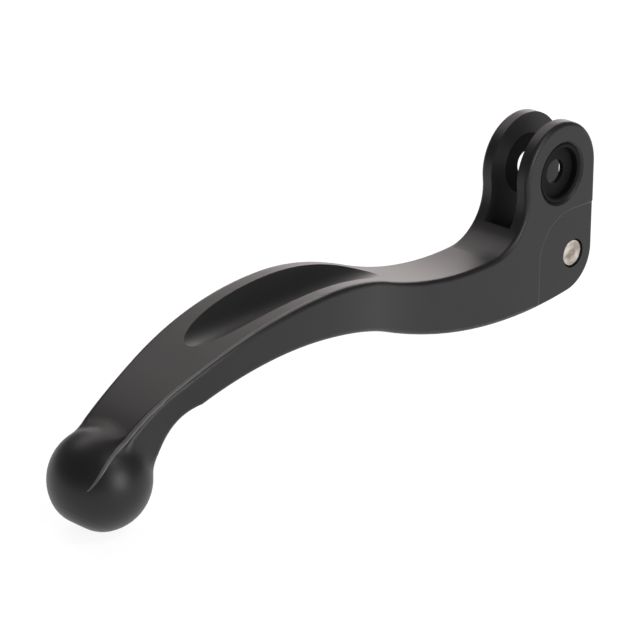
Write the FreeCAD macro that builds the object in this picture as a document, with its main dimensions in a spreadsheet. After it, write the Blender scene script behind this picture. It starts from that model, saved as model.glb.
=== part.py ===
"""Motorcycle brake lever: forged blade with a ball end, two pivot bushes and the pull-rod pin.

The pivot axis is Y and passes through the origin, the ball end lies towards -X and the side that
faces the handlebar is +Z. All sizes are in millimetres and degrees.
"""
import FreeCAD
import Part

import math
import os

import Sketcher

SIZES = (
    ("blade_reach", 102.0, "from the pivot to the end of the blade, where throat and ball begin"),
    ("ear_radius", 10.4, "outline radius of the ears about the pivot"),
    ("clevis_width", 12.2, "across the ears and the neck"),
    ("slot_width", 6.6, "between the ears"),
    ("slot_run", 1.2, "how far the slot ends behind the ears' outline"),
    ("slot_lip", 1.2, "chamfer where the slot breaks out of the blade"),
    ("block_depth", 26.75, "from the pivot down to the lowest point of the block"),
    ("block_corner", 8.0, "radius of the block's lower corner"),
    ("flank_radius", 10.0, "hollow between the ears and the neck"),
    ("root_x", 24.0, "lowest point of the neck, from the pivot"),
    ("root_depth", 13.0, "depth of that point below the pivot"),
    ("root_radius", 70.0, "radius of the neck's upper side"),
    ("apex_x", 69.5, "highest point of the hump, from the pivot"),
    ("apex_depth", 4.3, "depth of that point below the pivot"),
    ("back_radius", 84.0, "radius of the hump towards the ball"),
    ("belly_radius", 100.0, "radius under the neck and the block"),
    ("arch_x", 77.0, "highest point of the finger side, from the pivot"),
    ("arch_depth", 12.75, "depth of that point below the pivot"),
    ("arch_radius", 67.0, "radius of the finger side"),
    ("hump_x", 75.0, "widest point of the blade, from the pivot"),
    ("hump_width", 18.3, "width there"),
    ("side_radius", 230.0, "radius of the blade's sides in plan"),
    ("flare_x", 38.5, "where the neck begins to widen, from the pivot"),
    ("flare_radius", 90.0, "radii of that widening"),
    ("edge_radius", 0.95, "rounding of the long edges"),
    ("tail_run", 5.5, "first section beyond the blade's end, along the blade there"),
    ("tail_drop", 3.0, "its middle, below the blade's upper side"),
    ("tail_tilt", 1.0, "its tilt from the blade's end"),
    ("tail_width", 13.7, "its width"),
    ("tail_height", 6.0, "its height"),
    ("throat_run", 10.6, "throat beyond the blade's end, along the blade there"),
    ("throat_drop", 4.2, "its middle, below the blade's upper side"),
    ("throat_tilt", 17.2, "its tilt from the blade's end"),
    ("throat_width", 13.0, "width of the throat"),
    ("throat_height", 7.7, "height of the throat"),
    ("throat_corner", 1.3, "corner radius of the throat"),
    ("ball_run", 20.8, "centre of the ball beyond the blade's end, along the blade there"),
    ("ball_drop", 9.1, "centre of the ball below the blade's upper side"),
    ("ball_radius", 9.4, "radius of the ball"),
    ("ball_tilt", 30.2, "tilt of the ball's own axis from the blade's end"),
    ("ball_sink", 2.8, "where the throat ends inside the ball, before its centre"),
    ("sink_height", 10.4, "height of the throat there"),
    ("ball_flat", 8.9, "from the ball's centre to the flat on its tip"),
    ("ball_tip", 7.0, "rounding of that flat"),
    ("ball_blend", 6.0, "blend between throat and ball"),
    ("scoop_x", 69.5, "reference point of the scoop, from the pivot"),
    ("scoop_depth", 2.75, "depth of its axis below the pivot there"),
    ("scoop_radius", 6.1, "radius of the scoop"),
    ("scoop_tilt", -0.6, "tilt of its axis"),
    ("scoop_length", 65.0, "length of the milling path"),
    ("bush_outside", 12.3, "outside diameter of the bushes"),
    ("bush_mouth", 10.4, "inside diameter of the bushes"),
    ("bush_bore", 5.0, "bore of the lip at their inner end, which guides the bolt"),
    ("bush_lip", 0.9, "thickness of that lip"),
    ("bush_set", 0.25, "the bushes sit this far below the ears' faces"),
    ("bush_edge", 0.3, "chamfer round the bushes"),
    ("bore_edge", 0.45, "chamfer on the ears' bores"),
    ("pin_diameter", 6.0, "diameter of the pull-rod pin"),
    ("pin_x", 4.9, "pin from the pivot, away from the ball"),
    ("pin_depth", 18.3, "pin below the pivot"),
    ("pin_set", 0.3, "the pin sits this far below the pads"),
    ("pin_edge", 0.4, "chamfer on the pin"),
    ("pad_depth", 0.6, "depth of the pads machined round the pin"),
    ("pad_top", 8.4, "upper edge of the pads below the pivot"),
    ("pad_left", 5.9, "left edge of the pads, from the pivot"),
    ("pad_radius", 9.0, "corner radius of the pads"),
    ("pad_rim", 0.8, "rounding where the pads begin"),
    ("pad_tilt", 45.0, "slope of the pads' edges"),
)

# Lean of the blade's end and depth of its upper edge, as formulas
END_LEAN = "asin((sizes.blade_reach - sizes.apex_x) / sizes.back_radius)"
END_DEPTH = f"(sizes.apex_depth + sizes.back_radius * (1 - cos({END_LEAN})))"

doc = FreeCAD.newDocument("brake_lever")
sheet = doc.addObject("Spreadsheet::Sheet", "sizes")
for row, (alias, number, meaning) in enumerate(SIZES, start=1):
    sheet.set(f"A{row}", alias)
    sheet.set(f"B{row}", str(number))
    sheet.set(f"C{row}", meaning)
    sheet.setAlias(f"B{row}", alias)
doc.recompute()


def size(name):
    """Value of one named size."""
    return float(sheet.get(name))


def end_lean():
    """Angle by which the blade leans at its end."""
    return math.asin((size("blade_reach") - size("apex_x")) / size("back_radius"))


def leaning(angle):
    """Direction towards the ball that leans downwards by an angle."""
    return FreeCAD.Vector(-math.cos(angle), 0, -math.sin(angle))


def ball_frame():
    """Centre of the ball and the direction of its tip."""
    lean = end_lean()
    end_depth = size("apex_depth") + size("back_radius") * (1 - math.cos(lean))
    end = FreeCAD.Vector(-size("blade_reach"), 0, -end_depth)
    below = FreeCAD.Vector(math.sin(lean), 0, -math.cos(lean))
    centre = end + leaning(lean) * size("ball_run") + below * size("ball_drop")
    return centre, leaning(lean + math.radians(size("ball_tilt")))


def vector(x, y):
    """Point of a sketch."""
    return FreeCAD.Vector(x, y, 0)


def cross(first, first_radius, second, second_radius, side):
    """Crossing of two circles, on the given side of the line from the first centre to the second."""
    line = second - first
    along = (line.Length ** 2 + first_radius ** 2 - second_radius ** 2) / (2 * line.Length)
    across = math.sqrt(first_radius ** 2 - along ** 2)
    unit = FreeCAD.Vector(line).normalize()
    return first + unit * along + vector(-unit.y, unit.x) * across * side


def towards(start, end, distance):
    """Point at a distance from start on the way to end."""
    return start + (end - start).normalize() * distance


def arc(centre, start, end):
    """Arc of a circle that runs anticlockwise from start to end."""
    first = math.atan2(start.y - centre.y, start.x - centre.x)
    last = math.atan2(end.y - centre.y, end.x - centre.x)
    if last <= first:
        last += 2 * math.pi
    circle = Part.Circle(centre, FreeCAD.Vector(0, 0, 1), (start - centre).Length)
    return Part.ArcOfCircle(circle, first, last)


def line(start, end):
    """Straight edge of a sketch."""
    return Part.LineSegment(start, end)


def new_sketch(body, name, role):
    """Sketch on one of the body's own origin planes."""
    sketch = body.newObject("Sketcher::SketchObject", name)
    plane = next(item for item in body.Origin.OriginFeatures if item.Role == role)
    sketch.AttachmentSupport = [(plane, "")]
    sketch.MapMode = "FlatFace"
    return sketch


def join(sketch, kind, *ends):
    """Adds a constraint that has no size: the kind, then edge and end numbers."""
    sketch.addConstraint(Sketcher.Constraint(kind, *ends))


def measure(sketch, kind, ends, formula, name):
    """Adds a constraint whose size is a formula of the sheet's sizes."""
    geometry = sketch.Geometry[ends[0]] if ends[0] >= 0 else None
    if kind in ("Radius", "Diameter"):
        start = geometry.Radius * (2 if kind == "Diameter" else 1)
    else:
        first = sketch.getPoint(ends[0], ends[1])
        second = sketch.getPoint(ends[2], ends[3])
        gap = second - first
        start = gap.x if kind == "DistanceX" else gap.y
    index = sketch.addConstraint(Sketcher.Constraint(kind, *ends, start))
    sketch.renameConstraint(index, name)
    sketch.setExpression(f"Constraints.{name}", formula)


def edges_where(shape, test):
    """Names of the edges that pass the test."""
    return [f"Edge{number}" for number, edge in enumerate(shape.Edges, start=1) if test(edge)]


def samples(edge, count):
    """Points spread evenly along an edge, both ends included."""
    first, last = edge.ParameterRange
    return [edge.valueAt(first + (last - first) * number / (count - 1)) for number in range(count)]


def middle(edge):
    """Point half way along an edge."""
    return edge.valueAt((edge.FirstParameter + edge.LastParameter) / 2)


def normals(shape, edge):
    """Outward normals, half way along the edge, of the faces that meet there."""
    point = middle(edge)
    found = []
    for face in shape.ancestorsOfType(edge, Part.Face):
        u, v = face.Surface.parameter(point)
        found.append(face.normalAt(u, v))
    return found


def side_profile(body):
    """Outline of ears, neck, hump and block seen along the pivot, without the ball."""
    sketch = new_sketch(body, "SideProfile", "XZ_Plane")
    pivot = vector(0, 0)
    ear, flank = size("ear_radius"), size("flank_radius")
    root, back = size("root_radius"), size("back_radius")
    belly, arch = size("belly_radius"), size("arch_radius")
    corner = size("block_corner")
    apex = vector(-size("apex_x"), -size("apex_depth"))
    rise = size("root_depth") - size("apex_depth")
    run = size("apex_x") - size("root_x")
    shoulder = (run ** 2 + rise ** 2) / (2 * rise) - root
    root_centre = vector(-size("root_x"), root - size("root_depth"))
    flank_centre = cross(pivot, ear + flank, root_centre, root - flank, 1)
    shoulder_centre = vector(apex.x, apex.y - shoulder)
    back_centre = vector(apex.x, apex.y - back)
    arch_centre = vector(-size("arch_x"), -size("arch_depth") - arch)
    belly_centre = vector(0, belly - size("block_depth"))
    belly_centre.x = arch_centre.x + math.sqrt((belly + arch) ** 2 - (belly_centre.y - arch_centre.y) ** 2)
    aside = ear - corner - belly_centre.x
    corner_centre = belly_centre + vector(aside, -math.sqrt((belly - corner) ** 2 - aside ** 2))
    ear_start = vector(ear, 0)
    ear_end = towards(pivot, flank_centre, ear)
    flank_end = towards(root_centre, flank_centre, root)
    root_end = towards(root_centre, shoulder_centre, root)
    reach = vector(-math.sin(end_lean()), math.cos(end_lean()))
    blade_top = back_centre + reach * back
    gap = back_centre - arch_centre
    along = -gap.dot(reach) + math.sqrt(gap.dot(reach) ** 2 - gap.dot(gap) + arch ** 2)
    blade_low = back_centre + reach * along
    arch_start = towards(arch_centre, belly_centre, arch)
    belly_end = towards(belly_centre, corner_centre, belly)
    corner_end = vector(ear, corner_centre.y)
    sketch.addGeometry([
        arc(pivot, ear_start, ear_end),
        arc(flank_centre, flank_end, ear_end),
        arc(root_centre, root_end, flank_end),
        arc(shoulder_centre, root_end, apex),
        arc(back_centre, apex, blade_top),
        line(blade_top, blade_low),
        arc(arch_centre, arch_start, blade_low),
        arc(belly_centre, arch_start, belly_end),
        arc(corner_centre, belly_end, corner_end),
        line(corner_end, ear_start),
    ])
    join(sketch, "Coincident", 0, 3, -1, 1)
    join(sketch, "Tangent", 0, 2, 1, 2)
    join(sketch, "Tangent", 1, 1, 2, 2)
    join(sketch, "Tangent", 2, 1, 3, 1)
    join(sketch, "Tangent", 3, 2, 4, 1)
    join(sketch, "Coincident", 4, 2, 5, 1)
    join(sketch, "Coincident", 5, 2, 6, 2)
    join(sketch, "Tangent", 6, 1, 7, 1)
    join(sketch, "Tangent", 7, 2, 8, 1)
    join(sketch, "Tangent", 8, 2, 9, 1)
    join(sketch, "Tangent", 9, 2, 0, 1)
    join(sketch, "Vertical", 4, 3, 4, 1)
    join(sketch, "PointOnObject", 4, 3, 5)
    join(sketch, "Vertical", 9)
    measure(sketch, "Radius", (0,), "sizes.ear_radius", "ear")
    measure(sketch, "Radius", (1,), "sizes.flank_radius", "flank")
    measure(sketch, "Radius", (2,), "sizes.root_radius", "root")
    measure(sketch, "Radius", (4,), "sizes.back_radius", "back")
    measure(sketch, "Radius", (6,), "sizes.arch_radius", "arch")
    measure(sketch, "Radius", (7,), "sizes.belly_radius", "belly")
    measure(sketch, "Radius", (8,), "sizes.block_corner", "corner")
    measure(sketch, "DistanceX", (2, 3, -1, 1), "sizes.root_x", "root_place")
    measure(sketch, "DistanceY", (-1, 1, 2, 3), "sizes.root_radius - sizes.root_depth", "root_height")
    measure(sketch, "DistanceX", (4, 1, -1, 1), "sizes.apex_x", "apex_place")
    measure(sketch, "DistanceY", (4, 1, -1, 1), "sizes.apex_depth", "apex_height")
    measure(sketch, "DistanceX", (6, 3, -1, 1), "sizes.arch_x", "arch_place")
    measure(sketch, "DistanceY", (6, 3, -1, 1), "sizes.arch_depth + sizes.arch_radius", "arch_height")
    measure(sketch, "DistanceY", (-1, 1, 7, 3), "sizes.belly_radius - sizes.block_depth", "depth")
    measure(sketch, "DistanceX", (4, 2, -1, 1), "sizes.blade_reach", "end")
    return sketch


def plan_profile(body):
    """What is cut away from one side to give the blade its narrow neck and wide hump."""
    sketch = new_sketch(body, "PlanProfile", "XY_Plane")
    half, flare, side = size("clevis_width") / 2, size("flare_radius"), size("side_radius")
    hollow_centre = vector(-size("flare_x"), half + flare)
    side_centre = vector(-size("hump_x"), size("hump_width") / 2 - side)
    swell_centre = cross(hollow_centre, 2 * flare, side_centre, side - flare, -1)
    hollow_start = vector(hollow_centre.x, half)
    hollow_end = towards(hollow_centre, swell_centre, flare)
    swell_end = towards(side_centre, swell_centre, side)
    reach = size("blade_reach") + size("ear_radius") - size("hump_x")
    side_end = side_centre + vector(-reach, math.sqrt(side ** 2 - reach ** 2))
    right, top = 2 * size("ear_radius"), size("hump_width")
    sketch.addGeometry([
        line(vector(right, half), hollow_start),
        arc(hollow_centre, hollow_end, hollow_start),
        arc(swell_centre, hollow_end, swell_end),
        arc(side_centre, swell_end, side_end),
        line(side_end, vector(side_end.x, top)),
        line(vector(side_end.x, top), vector(right, top)),
        line(vector(right, top), vector(right, half)),
    ])
    join(sketch, "Tangent", 0, 2, 1, 2)
    join(sketch, "Tangent", 1, 1, 2, 1)
    join(sketch, "Tangent", 2, 2, 3, 1)
    join(sketch, "Coincident", 3, 2, 4, 1)
    join(sketch, "Coincident", 4, 2, 5, 1)
    join(sketch, "Coincident", 5, 2, 6, 1)
    join(sketch, "Coincident", 6, 2, 0, 1)
    join(sketch, "Horizontal", 0)
    join(sketch, "Vertical", 4)
    join(sketch, "Horizontal", 5)
    join(sketch, "Vertical", 6)
    join(sketch, "Equal", 1, 2)
    measure(sketch, "Radius", (1,), "sizes.flare_radius", "flare")
    measure(sketch, "Radius", (3,), "sizes.side_radius", "side")
    measure(sketch, "DistanceY", (-1, 1, 0, 1), "sizes.clevis_width / 2", "neck")
    measure(sketch, "DistanceX", (1, 3, -1, 1), "sizes.flare_x", "flare_place")
    measure(sketch, "DistanceX", (3, 3, -1, 1), "sizes.hump_x", "hump_place")
    measure(sketch, "DistanceY", (3, 3, -1, 1), "sizes.side_radius - sizes.hump_width / 2", "hump")
    measure(sketch, "DistanceX", (4, 1, -1, 1), "sizes.blade_reach + sizes.ear_radius", "reach")
    measure(sketch, "DistanceY", (-1, 1, 5, 1), "sizes.hump_width", "top")
    measure(sketch, "DistanceX", (-1, 1, 6, 1), "2 * sizes.ear_radius", "right")
    return sketch


def beyond_end(run, drop, tilt):
    """Formulas of place, depth and tilt for what lies beyond the blade's end and leans with it.

    The arguments are formulas too: how far along the blade's end, how far below its upper side and
    how much more it tilts.
    """
    place = f"sizes.blade_reach + ({run}) * cos({END_LEAN}) - ({drop}) * sin({END_LEAN})"
    depth = f"{END_DEPTH} + ({run}) * sin({END_LEAN}) + ({drop}) * cos({END_LEAN})"
    return place, depth, f"{END_LEAN} / 1deg + {tilt}"


def section(body, name, where, half_width, half_height, corner):
    """Rounded rectangle across the lever; where it is and its sizes are formulas."""
    sketch = body.newObject("Sketcher::SketchObject", name)
    on_tilted_plane(sketch, body, *where)
    wide, high, turn = size("throat_width") / 2, size("throat_height") / 2, size("edge_radius")
    inner_x, inner_y = wide - turn, high - turn
    sketch.addGeometry([
        line(vector(-inner_x, high), vector(inner_x, high)),
        arc(vector(inner_x, inner_y), vector(wide, inner_y), vector(inner_x, high)),
        line(vector(wide, inner_y), vector(wide, -inner_y)),
        arc(vector(inner_x, -inner_y), vector(inner_x, -high), vector(wide, -inner_y)),
        line(vector(inner_x, -high), vector(-inner_x, -high)),
        arc(vector(-inner_x, -inner_y), vector(-wide, -inner_y), vector(-inner_x, -high)),
        line(vector(-wide, -inner_y), vector(-wide, inner_y)),
        arc(vector(-inner_x, inner_y), vector(-inner_x, high), vector(-wide, inner_y)),
    ])
    for number in (0, 2, 4, 6):
        join(sketch, "Tangent", number, 2, number + 1, 2)
        join(sketch, "Tangent", number + 1, 1, (number + 2) % 8, 1)
    for number in (0, 4):
        join(sketch, "Horizontal", number)
    for number in (2, 6):
        join(sketch, "Vertical", number)
    for number in (3, 5, 7):
        join(sketch, "Equal", 1, number)
    measure(sketch, "Radius", (1,), corner, "corner")
    measure(sketch, "DistanceY", (-1, 1, 0, 1), half_height, "upper")
    measure(sketch, "DistanceY", (4, 1, -1, 1), half_height, "lower")
    measure(sketch, "DistanceX", (-1, 1, 2, 1), half_width, "right")
    measure(sketch, "DistanceX", (6, 1, -1, 1), half_width, "left")
    return sketch


def on_tilted_plane(item, body, place, depth, tilt):
    """Attaches an item across the lever, its place, depth and tilt given as formulas."""
    plane = next(found for found in body.Origin.OriginFeatures if found.Role == "YZ_Plane")
    item.AttachmentSupport = [(plane, "")]
    item.MapMode = "FlatFace"
    item.AttachmentOffset = FreeCAD.Placement(vector(0, 0), FreeCAD.Rotation(FreeCAD.Vector(-1, 0, 0), 45))
    item.setExpression("AttachmentOffset.Base.y", f"-({depth}) * 1mm")
    item.setExpression("AttachmentOffset.Base.z", f"-({place}) * 1mm")
    item.setExpression("AttachmentOffset.Rotation.Angle", f"({tilt}) * 1deg")


def circle_sketch(body, name, diameters, place=None, depth=None):
    """Circles seen along the pivot, about the pivot itself unless a place and depth are given."""
    sketch = new_sketch(body, name, "XZ_Plane")
    for number, diameter in enumerate(diameters):
        sketch.addGeometry(Part.Circle(vector(1, -1), FreeCAD.Vector(0, 0, 1), 3 + number))
        measure(sketch, "Diameter", (number,), diameter, f"diameter_{number}")
        if place is None:
            join(sketch, "Coincident", number, 3, -1, 1)
        else:
            measure(sketch, "DistanceX", (-1, 1, number, 3), place, f"place_{number}")
            measure(sketch, "DistanceY", (number, 3, -1, 1), depth, f"depth_{number}")
    return sketch


def through_pocket(body, name, sketch):
    """Cuts a sketch right through the body, both ways."""
    pocket = body.newObject("PartDesign::Pocket", name)
    pocket.Profile = sketch
    pocket.Type = "ThroughAll"
    pocket.SideType = "Symmetric"
    doc.recompute()
    return pocket


def mirror(body, name, feature):
    """Repeats a feature on the other side of the lever's middle plane."""
    mirrored = body.newObject("PartDesign::Mirrored", name)
    mirrored.Originals = [feature]
    plane = next(found for found in body.Origin.OriginFeatures if found.Role == "XZ_Plane")
    mirrored.MirrorPlane = (plane, [""])
    body.Tip = mirrored
    doc.recompute()
    return mirrored


def dress(body, kind, name, formula, test):
    """Rounds or chamfers the edges of the body's last feature that pass the test."""
    base = body.Tip
    feature = body.newObject(f"PartDesign::{kind}", name)
    feature.Base = (base, edges_where(base.Shape, test))
    feature.setExpression("Radius" if kind == "Fillet" else "Size", f"({formula}) * 1mm")
    body.Tip = feature
    doc.recompute()
    return feature


def is_long_edge(shape, edge):
    """True for the edges between the lever's sides and its upper, lower and end surfaces."""
    facing = normals(shape, edge)
    others = [normal for normal in facing if abs(normal.y) < 0.5]
    return len(facing) == 2 and len(others) == 1 and others[0].dot(leaning(end_lean())) < 0.999


def is_ball_seam(edge):
    """True for the edges where the throat runs into the ball."""
    centre, axis = ball_frame()
    reach = [point - centre for point in samples(edge, 5)]
    on_ball = all(abs(arm.Length - size("ball_radius")) < 0.01 for arm in reach)
    return on_ball and all(arm.dot(axis) < 0 for arm in reach)


def is_ball_tip(edge):
    """True for the rim of the flat on the ball's tip."""
    centre, axis = ball_frame()
    return all(abs((point - centre).dot(axis) - size("ball_flat")) < 0.01 for point in samples(edge, 5))


def is_slot_lip(edge):
    """True for the upper edge of the slot's end wall."""
    place = size("ear_radius") + size("slot_run")
    point = middle(edge)
    level = all(abs(found.x + place) < 0.01 for found in samples(edge, 3))
    return level and abs(point.y) < 0.01 and point.z > -size("block_depth") / 2


def is_bore_mouth(edge):
    """True for the outer rims of the ears' bores."""
    radius = size("bush_outside") / 2
    face = size("clevis_width") / 2
    return all(
        abs(math.hypot(point.x, point.z) - radius) < 0.01 and abs(abs(point.y) - face) < 0.01
        for point in samples(edge, 4)
    )


def is_bush_rim(edge):
    """True for the rims of a bush's outer face."""
    face = size("clevis_width") / 2 - size("bush_set")
    return all(abs(abs(point.y) - face) < 0.01 for point in samples(edge, 4))


def is_pad_rim(edge):
    """True for the edges where the pads begin, on the lever's sides."""
    face, left, top = size("clevis_width") / 2, size("pad_left"), size("pad_top")
    return all(
        abs(abs(point.y) - face) < 0.01 and point.x > -left - 0.01 and point.z < 0.01 - top
        for point in samples(edge, 5)
    )


def is_circle(edge):
    """True for round edges."""
    return edge.Curve.TypeId == "Part::GeomCircle"


def build_blade(body):
    """Blank cut to its plan shape, with its long edges rounded."""
    blank = body.newObject("PartDesign::Pad", "Blank")
    blank.Profile = side_profile(body)
    blank.SideType = "Symmetric"
    blank.setExpression("Length", "(sizes.hump_width + sizes.ear_radius) * 1mm")
    doc.recompute()
    trim = through_pocket(body, "PlanTrim", plan_profile(body))
    both = mirror(body, "PlanTrimBoth", trim)
    dress(body, "Fillet", "LongEdges", "sizes.edge_radius", lambda edge: is_long_edge(both.Shape, edge))


def build_ball(body):
    """Throat that grows out of the blade's end, the ball, and the blend between them."""
    blade = body.Tip
    end_faces = [
        f"Face{number}" for number, face in enumerate(blade.Shape.Faces, start=1)
        if face.Surface.TypeId == "Part::GeomPlane" and face.normalAt(0, 0).dot(leaning(end_lean())) > 0.999
    ]
    tail = section(
        body, "Tail", beyond_end("sizes.tail_run", "sizes.tail_drop", "sizes.tail_tilt"),
        "sizes.tail_width / 2", "sizes.tail_height / 2", "sizes.edge_radius",
    )
    throat = section(
        body, "Throat", beyond_end("sizes.throat_run", "sizes.throat_drop", "sizes.throat_tilt"),
        "sizes.throat_width / 2", "sizes.throat_height / 2", "sizes.throat_corner",
    )
    sink_run = "sizes.ball_run - sizes.ball_sink * cos(sizes.ball_tilt * 1deg)"
    sink_drop = "sizes.ball_drop - sizes.ball_sink * sin(sizes.ball_tilt * 1deg)"
    inside = section(
        body, "InsideBall", beyond_end(sink_run, sink_drop, "sizes.ball_tilt"),
        "sizes.throat_width / 2", "sizes.sink_height / 2", "sizes.throat_corner",
    )
    doc.recompute()
    neck = body.newObject("PartDesign::AdditiveLoft", "BallNeck")
    neck.Profile = (blade, end_faces)
    neck.Sections = [(tail, [""]), (throat, [""]), (inside, [""])]
    body.Tip = neck
    doc.recompute()
    ball = body.newObject("PartDesign::AdditiveSphere", "Ball")
    on_tilted_plane(ball, body, *beyond_end("sizes.ball_run", "sizes.ball_drop", "sizes.ball_tilt"))
    ball.setExpression("Radius", "sizes.ball_radius * 1mm")
    ball.setExpression("Angle1", "-asin(sizes.ball_flat / sizes.ball_radius)")
    body.Tip = ball
    doc.recompute()
    dress(body, "Fillet", "BallBlend", "sizes.ball_blend", is_ball_seam)
    dress(body, "Fillet", "BallTip", "sizes.ball_tip", is_ball_tip)


def build_scoop(body):
    """Lightening scoop milled into the side that faces the handlebar."""
    scoop = body.newObject("PartDesign::SubtractiveCylinder", "Scoop")
    on_tilted_plane(
        scoop, body,
        "sizes.scoop_x + sizes.scoop_length / 2 * cos(sizes.scoop_tilt * 1deg)",
        "sizes.scoop_depth + sizes.scoop_length / 2 * sin(sizes.scoop_tilt * 1deg)",
        "sizes.scoop_tilt",
    )
    scoop.setExpression("Radius", "sizes.scoop_radius * 1mm")
    scoop.setExpression("Height", "sizes.scoop_length * 1mm")
    body.Tip = scoop
    doc.recompute()


def slot_sketch(body):
    """Rectangle that splits the block into the two arms of the fork."""
    sketch = new_sketch(body, "SlotProfile", "XZ_Plane")
    left, right = -(size("ear_radius") + size("slot_run")), 2 * size("ear_radius")
    low, high = -2 * size("block_depth"), 2 * size("ear_radius")
    corners = [vector(left, low), vector(right, low), vector(right, high), vector(left, high)]
    sketch.addGeometry([line(corners[number], corners[(number + 1) % 4]) for number in range(4)])
    for number in range(4):
        join(sketch, "Coincident", number, 2, (number + 1) % 4, 1)
    for number in (0, 2):
        join(sketch, "Horizontal", number)
    for number in (1, 3):
        join(sketch, "Vertical", number)
    measure(sketch, "DistanceX", (0, 1, -1, 1), "sizes.ear_radius + sizes.slot_run", "left")
    measure(sketch, "DistanceX", (-1, 1, 1, 1), "2 * sizes.ear_radius", "right")
    measure(sketch, "DistanceY", (0, 1, -1, 1), "2 * sizes.block_depth", "low")
    measure(sketch, "DistanceY", (-1, 1, 2, 1), "2 * sizes.ear_radius", "high")
    return sketch


def pad_sketch(body):
    """Outline of the pad machined round the pin, drawn on the lever's front face."""
    sketch = new_sketch(body, "PadProfile", "XZ_Plane")
    sketch.setExpression("AttachmentOffset.Base.z", "sizes.clevis_width / 2 * 1mm")
    left, top, turn = -size("pad_left"), -size("pad_top"), size("pad_radius")
    right, low = 2 * size("ear_radius"), -2 * size("block_depth")
    centre = vector(left + turn, top - turn)
    sketch.addGeometry([
        line(vector(right, top), vector(centre.x, top)),
        arc(centre, vector(centre.x, top), vector(left, centre.y)),
        line(vector(left, centre.y), vector(left, low)),
        line(vector(left, low), vector(right, low)),
        line(vector(right, low), vector(right, top)),
    ])
    join(sketch, "Tangent", 0, 2, 1, 1)
    join(sketch, "Tangent", 1, 2, 2, 1)
    join(sketch, "Coincident", 2, 2, 3, 1)
    join(sketch, "Coincident", 3, 2, 4, 1)
    join(sketch, "Coincident", 4, 2, 0, 1)
    for number in (0, 3):
        join(sketch, "Horizontal", number)
    for number in (2, 4):
        join(sketch, "Vertical", number)
    measure(sketch, "Radius", (1,), "sizes.pad_radius", "corner")
    measure(sketch, "DistanceY", (0, 1, -1, 1), "sizes.pad_top", "top")
    measure(sketch, "DistanceX", (2, 1, -1, 1), "sizes.pad_left", "left")
    measure(sketch, "DistanceX", (-1, 1, 4, 1), "2 * sizes.ear_radius", "right")
    measure(sketch, "DistanceY", (3, 1, -1, 1), "2 * sizes.block_depth", "low")
    return sketch


def build_fork(body):
    """Slot, bores, pads and pin hole of the fork."""
    pad = body.newObject("PartDesign::Pocket", "PinPad")
    pad.Profile = pad_sketch(body)
    pad.setExpression("Length", "sizes.pad_depth * 1mm")
    pad.setExpression("TaperAngle", "-sizes.pad_tilt * 1deg")
    doc.recompute()
    mirror(body, "PinPadBoth", pad)
    dress(body, "Fillet", "PadRims", "sizes.pad_rim", is_pad_rim)
    slot = body.newObject("PartDesign::Pocket", "Slot")
    slot.Profile = slot_sketch(body)
    slot.SideType = "Symmetric"
    slot.setExpression("Length", "sizes.slot_width * 1mm")
    doc.recompute()
    dress(body, "Chamfer", "SlotLip", "sizes.slot_lip", is_slot_lip)
    through_pocket(body, "PivotBore", circle_sketch(body, "PivotCircle", ["sizes.bush_outside"]))
    dress(body, "Chamfer", "BoreMouths", "sizes.bore_edge", is_bore_mouth)
    hole = circle_sketch(body, "PinCircle", ["sizes.pin_diameter"], "sizes.pin_x", "sizes.pin_depth")
    through_pocket(body, "PinHole", hole)


def build_lever():
    """The forged lever in one piece."""
    body = doc.addObject("PartDesign::Body", "lever_blade")
    body.Label = "lever_blade"
    build_blade(body)
    build_ball(body)
    build_scoop(body)
    build_fork(body)
    return body


def build_bush(name, side):
    """Bush pressed into one ear; side is -1 for the front ear and 1 for the back one."""
    body = doc.addObject("PartDesign::Body", name)
    body.Label = name
    whole = "(sizes.clevis_width - sizes.slot_width) / 2 - sizes.bush_set"
    for role, inside, length in (("lip", "bush_bore", "sizes.bush_lip"), ("sleeve", "bush_mouth", whole)):
        ring = circle_sketch(body, f"{name}_{role}_ring", ["sizes.bush_outside", f"sizes.{inside}"])
        ring.setExpression("AttachmentOffset.Base.z", f"{-side} * sizes.slot_width / 2 * 1mm")
        sleeve = body.newObject("PartDesign::Pad", f"{name}_{role}")
        sleeve.Profile = ring
        sleeve.Reversed = side > 0
        sleeve.setExpression("Length", f"({length}) * 1mm")
        doc.recompute()
    dress(body, "Chamfer", f"{name}_edges", "sizes.bush_edge", is_bush_rim)
    return body


def build_pin():
    """Steel pin pressed across the fork, on which the pull rod hooks."""
    body = doc.addObject("PartDesign::Body", "link_pin")
    body.Label = "link_pin"
    pin = body.newObject("PartDesign::Pad", "link_pin_rod")
    circle = circle_sketch(body, "link_pin_circle", ["sizes.pin_diameter"], "sizes.pin_x", "sizes.pin_depth")
    pin.Profile = circle
    pin.SideType = "Symmetric"
    pin.setExpression("Length", "(sizes.clevis_width - 2 * sizes.pad_depth - 2 * sizes.pin_set) * 1mm")
    doc.recompute()
    dress(body, "Chamfer", "link_pin_edges", "sizes.pin_edge", is_circle)
    return body


nodes = [build_lever(), build_bush("pivot_bush_front", -1), build_bush("pivot_bush_back", 1), build_pin()]
doc.recompute()
for item in doc.Objects:
    if "Invalid" in item.State or "Error" in item.State:
        raise RuntimeError(f"{item.Name} did not build: {item.State}")
os.makedirs("parts", exist_ok=True)
for node in nodes:
    if node.Shape.isNull() or not node.Shape.isValid():
        raise RuntimeError(f"{node.Label} has no valid shape")
    node.Shape.exportStep(f"parts/{node.Label}.step")
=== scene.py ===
"""Dresses the motorcycle brake lever in its real finishes and sets it in a white studio.

The lever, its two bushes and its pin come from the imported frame. All lengths are in metres unless a
name says millimetres.
"""
import logging
import math
from dataclasses import dataclass
from enum import Enum
from typing import Any

import bmesh
import bpy
from mathutils import Matrix, Vector
from mathutils.bvhtree import BVHTree


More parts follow.
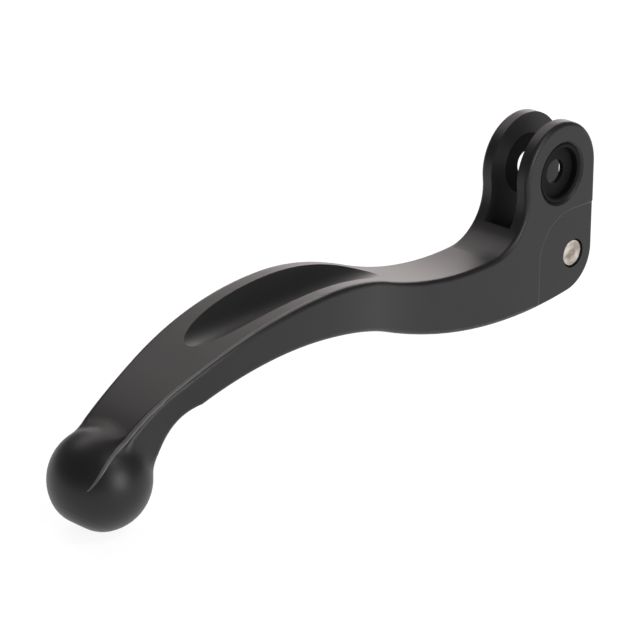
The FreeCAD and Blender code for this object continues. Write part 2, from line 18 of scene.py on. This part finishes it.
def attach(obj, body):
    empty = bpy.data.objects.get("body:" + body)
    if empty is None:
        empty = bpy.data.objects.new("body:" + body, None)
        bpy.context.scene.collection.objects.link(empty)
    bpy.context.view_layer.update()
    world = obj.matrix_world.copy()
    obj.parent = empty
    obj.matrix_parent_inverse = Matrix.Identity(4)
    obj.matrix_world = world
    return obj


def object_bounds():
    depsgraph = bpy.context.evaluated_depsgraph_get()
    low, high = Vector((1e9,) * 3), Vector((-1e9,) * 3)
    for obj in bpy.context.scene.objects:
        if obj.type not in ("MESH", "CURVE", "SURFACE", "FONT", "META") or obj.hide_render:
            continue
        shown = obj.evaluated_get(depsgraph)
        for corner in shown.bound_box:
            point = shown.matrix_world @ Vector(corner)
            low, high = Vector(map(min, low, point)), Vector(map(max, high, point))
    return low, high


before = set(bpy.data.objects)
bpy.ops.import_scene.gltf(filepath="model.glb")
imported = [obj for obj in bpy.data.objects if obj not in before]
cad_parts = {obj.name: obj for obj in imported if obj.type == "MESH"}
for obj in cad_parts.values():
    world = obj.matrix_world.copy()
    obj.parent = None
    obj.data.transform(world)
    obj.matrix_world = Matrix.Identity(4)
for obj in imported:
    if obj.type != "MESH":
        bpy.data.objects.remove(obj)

CAD_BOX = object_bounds()
MM = 0.001

logger = logging.getLogger("brake_lever")

Colour = tuple[float, float, float, float]


class Node(Enum):
    """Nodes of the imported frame."""

    LEVER = "lever_blade"
    FRONT_BUSH = "pivot_bush_front"
    BACK_BUSH = "pivot_bush_back"
    PIN = "link_pin"


def linear(code: str) -> Colour:
    """Turns a colour from sRGB to linear light.

    Args:
        code: sRGB colour as a hash sign and six hex digits.

    Returns:
        Red, green, blue and alpha in linear light.
    """
    channels = [int(code[start:start + 2], 16) / 255 for start in (1, 3, 5)]
    red, green, blue = [
        value / 12.92 if value <= 0.04045 else ((value + 0.055) / 1.055) ** 2.4 for value in channels
    ]
    return (red, green, blue, 1.0)


def add_node(
    tree: bpy.types.NodeTree,
    kind: str,
    settings: dict[str, Any] | None = None,
    links: dict[str | int, bpy.types.NodeSocket] | None = None,
) -> bpy.types.Node:
    """Adds a shader node with its settings and links.

    Args:
        tree: Node tree that gets the node.
        kind: Type of the node, as Blender names it.
        settings: Values of the node's own properties or, where it has none of that name, of its inputs.
        links: Output sockets to link, under the name or number of the input that each one feeds.

    Returns:
        The new node.
    """
    node = tree.nodes.new(kind)
    for name, value in (settings or {}).items():
        if hasattr(node, name):
            setattr(node, name, value)
        else:
            node.inputs[name].default_value = value
    for name, socket in (links or {}).items():
        tree.links.new(socket, node.inputs[name])
    return node


def new_material(name: str) -> tuple[bpy.types.Material, bpy.types.NodeTree]:
    """Makes a material with an empty node tree.

    Args:
        name: Name of the material.

    Returns:
        The material and its node tree.
    """
    material = bpy.data.materials.new(name)
    material.use_nodes = True
    material.node_tree.nodes.clear()
    return material, material.node_tree


@dataclass(frozen=True)
class Finish:
    """What a piece is made of and how its surface was made."""

    name: str
    colour: str
    patch_colour: str
    patch_mm: float
    metallic: float
    roughness: float
    shine: float
    grain_mm: float
    grain_height_mm: float

    def material(self) -> bpy.types.Material:
        """Makes the material: two colours in soft patches, with a fine grain that breaks up the reflections.

        Returns:
            The material.
        """
        material, tree = new_material(self.name)
        place = add_node(tree, "ShaderNodeTexCoord")
        patches = add_node(
            tree,
            "ShaderNodeTexNoise",
            {"Scale": 1 / (self.patch_mm * MM), "Detail": 2.0, "Roughness": 0.6},
            {"Vector": place.outputs["Object"]},
        )
        colours = add_node(tree, "ShaderNodeValToRGB", links={"Fac": patches.outputs["Fac"]})
        first, last = colours.color_ramp.elements
        first.position, first.color = 0.35, linear(self.colour)
        last.position, last.color = 0.65, linear(self.patch_colour)
        grain = add_node(
            tree,
            "ShaderNodeTexNoise",
            {"Scale": 1 / (self.grain_mm * MM), "Detail": 2.0, "Roughness": 0.6},
            {"Vector": place.outputs["Object"]},
        )
        bump = add_node(
            tree,
            "ShaderNodeBump",
            {"Strength": 1.0, "Distance": self.grain_height_mm * MM},
            {"Height": grain.outputs["Fac"]},
        )
        shader = add_node(
            tree,
            "ShaderNodeBsdfPrincipled",
            {
                "Metallic": self.metallic,
                "Roughness": self.roughness,
                "Specular IOR Level": self.shine,
            },
            {"Base Color": colours.outputs["Color"], "Normal": bump.outputs["Normal"]},
        )
        add_node(tree, "ShaderNodeOutputMaterial", links={"Surface": shader.outputs["BSDF"]})
        return material


# Dyed oxide over blasted aluminium: nearly black, with soft satin reflections and a faint grain
BLACK_ANODISED_ALUMINIUM = Finish(
    name="black anodised aluminium",
    colour="#141213",
    patch_colour="#17161A",
    patch_mm=18.0,
    metallic=0.0,
    roughness=0.42,
    shine=0.42,
    grain_mm=0.35,
    grain_height_mm=0.004,
)

# Moulded bearing plastic, duller than the lever: its colour is the plastic's own black, made blacker still
# as painted shade so that the bores look deep
BLACK_NYLON_AND_BORE_SHADE = Finish(
    name="black moulded nylon and painted bore shade",
    colour="#0B0B0C",
    patch_colour="#0F0F10",
    patch_mm=4.0,
    metallic=0.0,
    roughness=0.7,
    shine=0.2,
    grain_mm=0.6,
    grain_height_mm=0.004,
)

# Cropped steel pin end: warm grey metal with darker patches and a rough torn grain
CROPPED_STEEL = Finish(
    name="cropped steel",
    colour="#D8CFC6",
    patch_colour="#8F857C",
    patch_mm=2.4,
    metallic=1.0,
    roughness=0.36,
    shine=0.5,
    grain_mm=0.7,
    grain_height_mm=0.03,
)

# Painted highlight: a grey line on the raised edge ridge, lighter than the lever, stands in for the light
# that the edge catches
EDGE_HIGHLIGHT_PAINT = Finish(
    name="painted edge highlight",
    colour="#625F60",
    patch_colour="#575455",
    patch_mm=6.0,
    metallic=0.0,
    roughness=0.42,
    shine=0.42,
    grain_mm=0.35,
    grain_height_mm=0.004,
)


def coat(node: Node, finish: Finish) -> None:
    """Gives a node of the frame its finish.

    Args:
        node: Node to dress.
        finish: Finish that it gets.
    """
    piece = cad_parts[node.value]
    material = finish.material()
    for slot in piece.material_slots:
        slot.material = material
    logger.info("%s: %s", node.value, finish.name)


@dataclass
class Lever:
    """The lever, the bushes pressed into its ears and the pin pressed across its fork."""

    metal: Finish = BLACK_ANODISED_ALUMINIUM
    # the bushes' colour is partly painted shade, darkened so that the bores look deep
    bush: Finish = BLACK_NYLON_AND_BORE_SHADE
    pin: Finish = CROPPED_STEEL

    def dress(self) -> None:
        """Gives every node its finish."""
        coat(Node.LEVER, self.metal)
        coat(Node.FRONT_BUSH, self.bush)
        coat(Node.BACK_BUSH, self.bush)
        coat(Node.PIN, self.pin)


@dataclass(frozen=True)
class Station:
    """A place on the lever's middle plane where the ridge's course is found.

    Attributes:
        place: The place, within the lever's metal.
        lean: Angle in radians by which the lever points down there.
        turn: Angle in radians from the lever's top round to the ridge, towards the front.
        radius: Radius of the ridge's round back there.
    """

    place: Vector
    lean: float
    turn: float
    radius: float


@dataclass
class Ridge:
    """Low raised line along the blade's front top edge, which runs out over the ball.

    Attributes:
        finish: What the ridge looks like; its grey colour is a painted highlight along the edge.
        radii_mm: Radius of its round back on the blade and on the ball.
        height_mm: How far it stands out of the surface.
        rise: Share of the height that it gains from one station to the next, at both of its ends.
        arc_mm: X and Z of the middle of the blade's back arc.
        arc_radius_mm: Radius on which the stations lie there, a little under the blade's top.
        ball_mm: X and Z of the middle of the ball.
        leans: Degrees by which the lever points down at the ridge's start, the blade's end and the ball.
        turns: Degrees from the lever's top to the ridge on the blade, on the ball and at the ridge's end.
        run_out_mm: How far it goes on past the middle of the ball.
        reach_mm: How far from a station the lever's edge is looked for.
        steps: Stations on the blade, and again on the throat.
        smoothings: How often the course is smoothed.
    """

    finish: Finish = EDGE_HIGHLIGHT_PAINT
    radii_mm: tuple[float, float] = (0.35, 0.8)
    height_mm: float = 0.12
    rise: float = 0.1
    arc_mm: tuple[float, float] = (-69.5, -88.3)
    arc_radius_mm: float = 81.0
    ball_mm: tuple[float, float] = (-117.7, -27.3)
    leans: tuple[float, float, float] = (-6.0, 23.0, 53.0)
    turns: tuple[float, float, float] = (18.0, 43.0, 36.0)
    run_out_mm: float = 3.6
    reach_mm: float = 14.0
    steps: int = 24
    smoothings: int = 24

    def stations(self) -> list[Station]:
        """Lists places from the hump to past the middle of the ball.

        Returns:
            The stations in order.
        """
        first, last, ball = (math.radians(lean) for lean in self.leans)
        on_blade, on_ball, at_end = (math.radians(turn) for turn in self.turns)
        thin, broad = (radius * MM for radius in self.radii_mm)
        middle = Vector((self.arc_mm[0], 0.0, self.arc_mm[1])) * MM
        centre = Vector((self.ball_mm[0], 0.0, self.ball_mm[1])) * MM
        onward = Vector((-math.cos(ball), 0.0, -math.sin(ball))) * self.run_out_mm * MM
        shares = [step / self.steps for step in range(self.steps + 1)]
        found = []
        for share in shares:
            lean = first + (last - first) * share
            out = Vector((-math.sin(lean), 0.0, math.cos(lean))) * self.arc_radius_mm * MM
            found.append(Station(middle + out, lean, on_blade, thin))
        tail = found[-1].place
        for share in shares[1:]:
            lean, turn = last + (ball - last) * share, on_blade + (on_ball - on_blade) * share
            found.append(Station(tail.lerp(centre, share), lean, turn, thin + (broad - thin) * share))
        for share in shares[3::3]:
            turn = on_ball + (at_end - on_ball) * share
            found.append(Station(centre + onward * share, ball, turn, broad + (thin - broad) * share))
        return found

    def course(self, stations: list[Station]) -> list[tuple[Vector, Vector]]:
        """Finds the lever's front top edge at every station and smooths its course on the surface.

        Args:
            stations: Places along the lever.

        Returns:
            Points on the lever's surface, each with the surface's normal.
        """
        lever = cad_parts[Node.LEVER.value]
        cut = bmesh.new()
        cut.from_mesh(lever.data)
        cut.transform(lever.matrix_world)
        surface = BVHTree.FromBMesh(cut)
        points = []
        for station in stations:
            sine, cosine = math.sin(station.lean), math.cos(station.lean)
            above = Vector((-sine, 0.0, cosine))
            outward = above * math.cos(station.turn) - Vector((0.0, math.sin(station.turn), 0.0))
            parts = cut.verts[:] + cut.edges[:] + cut.faces[:]
            met = bmesh.ops.bisect_plane(
                cut, geom=parts, dist=1e-7, plane_co=station.place, plane_no=Vector((cosine, 0.0, sine))
            )
            near = [
                part.co.copy()
                for part in met["geom_cut"]
                if isinstance(part, bmesh.types.BMVert)
                and (part.co - station.place).length < self.reach_mm * MM
            ]
            points.append(max(near, key=outward.dot))
        cut.free()
        for _ in range(self.smoothings):
            inner = [(a + b * 2 + c) / 4 for a, b, c in zip(points, points[1:], points[2:])]
            points = [points[0], *inner, points[-1]]
        return [surface.find_nearest(point)[:2] for point in points]

    def build(self) -> None:
        """Lays the ridge along the edge, so that it rises out of the surface and sinks into it again."""
        stations = self.stations()
        curve = bpy.data.curves.new("edge ridge", "CURVE")
        curve.dimensions = "3D"
        curve.bevel_depth = 1.0
        curve.bevel_resolution = 4
        spline = curve.splines.new("POLY")
        spline.points.add(len(stations) - 1)
        for number, (place, normal) in enumerate(self.course(stations)):
            from_end = min(number, len(stations) - 1 - number)
            height = self.height_mm * MM * min(1.0, self.rise * from_end)
            point = spline.points[number]
            point.radius = stations[number].radius
            point.co = (*(place - normal * (point.radius - height)), 1.0)
        strip = bpy.data.objects.new("edge ridge", curve)
        mesh = bpy.data.meshes.new_from_object(strip)
        ridge = bpy.data.objects.new("edge_ridge", mesh)
        bpy.context.scene.collection.objects.link(ridge)
        mesh.polygons.foreach_set("use_smooth", [True] * len(mesh.polygons))
        mesh.materials.clear()
        mesh.materials.append(self.finish.material())
        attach(ridge, "root")
        logger.info("%s: %d points, %s", ridge.name, len(stations), self.finish.name)


@dataclass(frozen=True)
class Softbox:
    """A soft lamp that looks at the lever."""

    name: str
    direction: tuple[float, float, float]
    distance: float
    width: float
    height: float
    radiance: float
    colour: str = "#FFFFFF"

    def build(self, aim: Vector) -> None:
        """Hangs the lamp.

        Args:
            aim: Point that the lamp looks at.
        """
        towards = Vector(self.direction).normalized()
        lamp = bpy.data.lights.new(self.name, "AREA")
        lamp.shape = "RECTANGLE"
        lamp.size = self.width
        lamp.size_y = self.height
        lamp.color = linear(self.colour)[:3]
        lamp.energy = self.radiance * math.pi * self.width * self.height
        holder = bpy.data.objects.new(self.name, lamp)
        holder.location = aim + towards * self.distance
        holder.rotation_euler = towards.to_track_quat("Z", "Y").to_euler()
        bpy.context.scene.collection.objects.link(holder)
        logger.info("%s: lamp of %.2f by %.2f m", self.name, self.width, self.height)


@dataclass
class Studio:
    """Pale floor, dim room and soft lamps round the lever."""

    floor_size: float = 8.0
    floor_colour: str = "#E6E6E6"
    floor_glow: float = 0.88
    floor_shade: float = 0.28
    room_colour: str = "#FFFFFF"
    room_level: float = 0.24
    front_lamp: Softbox = Softbox(
        name="front softbox",
        direction=(0.0, -0.97, 0.24),
        distance=1.0,
        width=0.36,
        height=0.5,
        radiance=7.5,
    )
    back_lamp: Softbox = Softbox(
        name="back softbox",
        direction=(0.77, 0.6, 0.22),
        distance=1.0,
        width=0.75,
        height=0.55,
        radiance=2.7,
        colour="#FFF5F4",
    )
    top_lamp: Softbox = Softbox(
        name="top softbox",
        direction=(0.2, 0.58, 0.79),
        distance=1.0,
        width=0.8,
        height=0.4,
        radiance=2.4,
        colour="#FFF5F4",
    )
    edge_lamp: Softbox = Softbox(
        name="edge softbox",
        direction=(0.05, -0.58, 0.82),
        distance=1.0,
        width=0.25,
        height=0.25,
        radiance=7.0,
    )

    def seen(self, tree: bpy.types.NodeTree) -> bpy.types.NodeSocket:
        """Tells the rays that show the background from those that light the lever.

        Args:
            tree: Node tree of the floor or the room.

        Returns:
            Socket that is 1 for camera, glossy and transmitted rays and 0 for the others.
        """
        path = add_node(tree, "ShaderNodeLightPath")
        mirrored = add_node(
            tree,
            "ShaderNodeMath",
            {"operation": "MAXIMUM"},
            {0: path.outputs["Is Glossy Ray"], 1: path.outputs["Is Transmission Ray"]},
        )
        shown = add_node(
            tree,
            "ShaderNodeMath",
            {"operation": "MAXIMUM"},
            {0: path.outputs["Is Camera Ray"], 1: mirrored.outputs["Value"]},
        )
        return shown.outputs["Value"]

    def floor_material(self) -> bpy.types.Material:
        """Makes the white floor, which still takes the lever's shadow.

        Returns:
            The material.
        """
        material, tree = new_material("white studio floor")
        white = add_node(tree, "ShaderNodeEmission", {"Strength": self.floor_glow})
        shade = add_node(tree, "ShaderNodeBsdfDiffuse", {"Color": (self.floor_shade,) * 3 + (1.0,)})
        glowing = add_node(tree, "ShaderNodeAddShader", links={0: white.outputs[0], 1: shade.outputs[0]})
        plain = add_node(tree, "ShaderNodeBsdfDiffuse", {"Color": linear(self.floor_colour)})
        mixed = add_node(
            tree,
            "ShaderNodeMixShader",
            links={0: self.seen(tree), 1: plain.outputs[0], 2: glowing.outputs[0]},
        )
        add_node(tree, "ShaderNodeOutputMaterial", links={"Surface": mixed.outputs[0]})
        return material

    def build_floor(self) -> None:
        """Lays the floor under the lever's lowest point."""
        bpy.ops.object.select_all(action="DESELECT")
        bpy.ops.mesh.primitive_plane_add(size=self.floor_size, location=(0.0, 0.0, CAD_BOX[0][2]))
        floor = bpy.context.active_object
        floor.name = "studio floor"
        floor.data.materials.append(self.floor_material())
        logger.info("%s: %.1f m square", floor.name, self.floor_size)

    def build_room(self) -> None:
        """Fills the room round the floor with even light."""
        world = bpy.data.worlds.new("studio room")
        world.use_nodes = True
        tree = world.node_tree
        tree.nodes.clear()
        glow = add_node(
            tree,
            "ShaderNodeBackground",
            {"Color": linear(self.room_colour), "Strength": self.room_level},
        )
        add_node(tree, "ShaderNodeOutputWorld", links={"Surface": glow.outputs["Background"]})
        bpy.context.scene.world = world
        logger.info("%s: level %.2f", world.name, self.room_level)

    def build(self) -> None:
        """Builds floor, room and lamps."""
        self.build_floor()
        self.build_room()
        aim = (Vector(CAD_BOX[0]) + Vector(CAD_BOX[1])) / 2
        for lamp in (self.front_lamp, self.back_lamp, self.top_lamp, self.edge_lamp):
            lamp.build(aim)


@dataclass
class Viewpoint:
    """Camera at the photograph's viewing angle, aimed so that the pivot falls on its pixel there."""

    azimuth: float = -46.0
    elevation: float = 23.0
    distance: float = 0.6
    image_px: float = 640.0
    sensor_mm: float = 36.0
    px_per_mm: float = 5.1
    target: tuple[float, float, float] = (0.0, -6.1 * MM, 0.0)
    target_px: tuple[float, float] = (562.3, 173.8)

    def build(self) -> None:
        """Places the camera."""
        turn, lift = math.radians(self.azimuth), math.radians(self.elevation)
        back = Vector((math.sin(turn) * math.cos(lift), -math.cos(turn) * math.cos(lift), math.sin(lift)))
        right = Vector((math.cos(turn), math.sin(turn), 0.0))
        up = back.cross(right)
        middle = self.image_px / 2
        metres_per_px = MM / self.px_per_mm
        aside = (middle - self.target_px[0]) * metres_per_px
        above = (self.target_px[1] - middle) * metres_per_px
        eye = Vector(self.target) + back * self.distance + right * aside + up * above
        lens = bpy.data.cameras.new("photograph")
        lens.sensor_width = self.sensor_mm
        lens.lens = self.px_per_mm * self.distance / MM / self.image_px * self.sensor_mm
        camera = bpy.data.objects.new("photograph", lens)
        axes = Matrix((right, up, back)).transposed()
        camera.matrix_world = Matrix.Translation(eye) @ axes.to_4x4()
        bpy.context.scene.collection.objects.link(camera)
        bpy.context.scene.camera = camera
        logger.info("camera: lens of %.1f mm", lens.lens)


def main() -> None:
    """Dresses the lever, builds the studio and places the camera."""
    logging.basicConfig(level=logging.INFO)
    bpy.context.scene.view_settings.view_transform = "Standard"
    Lever().dress()
    Ridge().build()
    Studio().build()
    Viewpoint().build()


if __name__ == "__main__":
    main()
